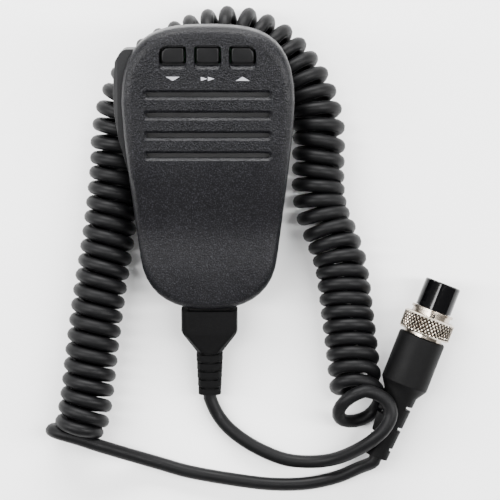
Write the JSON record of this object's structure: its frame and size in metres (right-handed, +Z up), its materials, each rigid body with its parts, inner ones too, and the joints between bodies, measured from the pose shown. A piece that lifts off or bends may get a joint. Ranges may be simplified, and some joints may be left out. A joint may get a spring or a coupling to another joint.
{
  "type": "hand microphone",
  "caption": "Hand microphone with push-to-talk bar, keys over horizontal sound slots, a looped curly cord and a round multi-pin plug with a knurled coupling nut.",
  "frame": {"origin": "on the table, under the middle of the microphone's bounding box (the cord and the plug left out)", "axes": "+X across the microphone to the viewer's right, +Y along it towards its top end, +Z up from the table towards its front face"},
  "size_m": [0.1545, 0.1877, 0.044],
  "materials": {
    "grained_plastic": "fine leather-grain moulded plastic, satin",
    "smooth_plastic": "smooth satin moulded plastic",
    "rubber": "matte moulded rubber",
    "cord_jacket": "satin flexible cord jacket",
    "nickel": "nickel plate, polished and knurled",
    "steel": "plated steel",
    "gold": "gold-plated brass",
    "glossy_plastic": "glossy black moulded insert",
    "board": "green solder mask",
    "cloth": "black sound cloth",
    "cream_plastic": "natural nylon"
  },
  "bodies": {
    "housing": {"front_shell": "grained_plastic", "rear_shell": "grained_plastic", "grille_cloth": "cloth", "mic_cartridge": "steel", "board_screw_1": "steel", "board_screw_2": "steel", "hanger_screw": "steel", "case_screw_1": "steel", "case_screw_2": "steel", "case_screw_3": "steel", "case_screw_4": "steel", "ptt_pin": "steel", "ptt_spring": "steel", "cord_clamp": "steel", "clamp_screw_1": "steel", "clamp_screw_2": "steel", "cartridge_ring": "rubber", "cord_boot": "rubber", "plug_boot": "rubber", "circuit_board": "board", "tact_switch_down": "smooth_plastic", "tact_switch_fast": "smooth_plastic", "tact_switch_up": "smooth_plastic", "ptt_switch": "smooth_plastic", "tone_switch": "smooth_plastic", "wire_connector": "cream_plastic", "hanger_stud": "nickel", "plug_barrel": "nickel", "mic_lead": "cord_jacket", "curly_cord": "cord_jacket", "plug_lead": "cord_jacket", "plug_insert": "glossy_plastic", "contact_1": "gold", "contact_2": "gold", "contact_3": "gold", "contact_4": "gold", "contact_5": "gold", "contact_6": "gold", "contact_7": "gold", "contact_8": "gold"},
    "ptt_bar": {"ptt_bar": "smooth_plastic"},
    "ptt_plunger": {"ptt_plunger": "cream_plastic"},
    "tone_slider": {"tone_slider": "smooth_plastic"},
    "key_down": {"key_down": "smooth_plastic", "tact_plunger_down": "smooth_plastic"},
    "key_fast": {"key_fast": "smooth_plastic", "tact_plunger_fast": "smooth_plastic"},
    "key_up": {"key_up": "smooth_plastic", "tact_plunger_up": "smooth_plastic"},
    "nut_washer": {"nut_washer": "nickel"},
    "coupling_nut": {"coupling_nut": "nickel"}
  },
  "joints": [
    {"name": "ptt_press", "type": "hinge", "parent": "housing", "child": "ptt_bar", "pos_m": [-0.02396, 0.01334, 0.02252], "axis": [0, 0.2164, -0.9763], "range_deg": [0, 3.5], "stiffness_Nm_per_rad": 1, "deforming": ["ptt_spring"]},
    {"name": "ptt_plunger_in", "type": "slide", "parent": "housing", "child": "ptt_plunger", "axis": [1, 0, 0], "range_m": [0, 0.0014]},
    {"name": "tone_select", "type": "slide", "parent": "housing", "child": "tone_slider", "axis": [1, 0, 0], "range_m": [0, 0.003]},
    {"name": "key_down_press", "type": "slide", "parent": "housing", "child": "key_down", "axis": [0, 0.2164, -0.9763], "range_m": [0, 0.0008], "stiffness_N_per_m": 1200},
    {"name": "key_fast_press", "type": "slide", "parent": "housing", "child": "key_fast", "axis": [0, 0.2164, -0.9763], "range_m": [0, 0.0008], "stiffness_N_per_m": 1200},
    {"name": "key_up_press", "type": "slide", "parent": "housing", "child": "key_up", "axis": [0, 0.2164, -0.9763], "range_m": [0, 0.0008], "stiffness_N_per_m": 1200},
    {"name": "nut_slide", "type": "slide", "parent": "housing", "child": "nut_washer", "axis": [0.3611, 0.932, 0.0314], "range_m": [-0.0008, 0.005]},
    {"name": "nut_turn", "type": "hinge", "parent": "nut_washer", "child": "coupling_nut", "pos_m": [0.08552, -0.04324, 0.01025], "axis": [0.3611, 0.932, 0.0314], "continuous": true}
  ],
  "couplings": [
    {"joint": "ptt_plunger_in", "follows": "ptt_press", "m_per_rad": 0.0215}
  ]
}
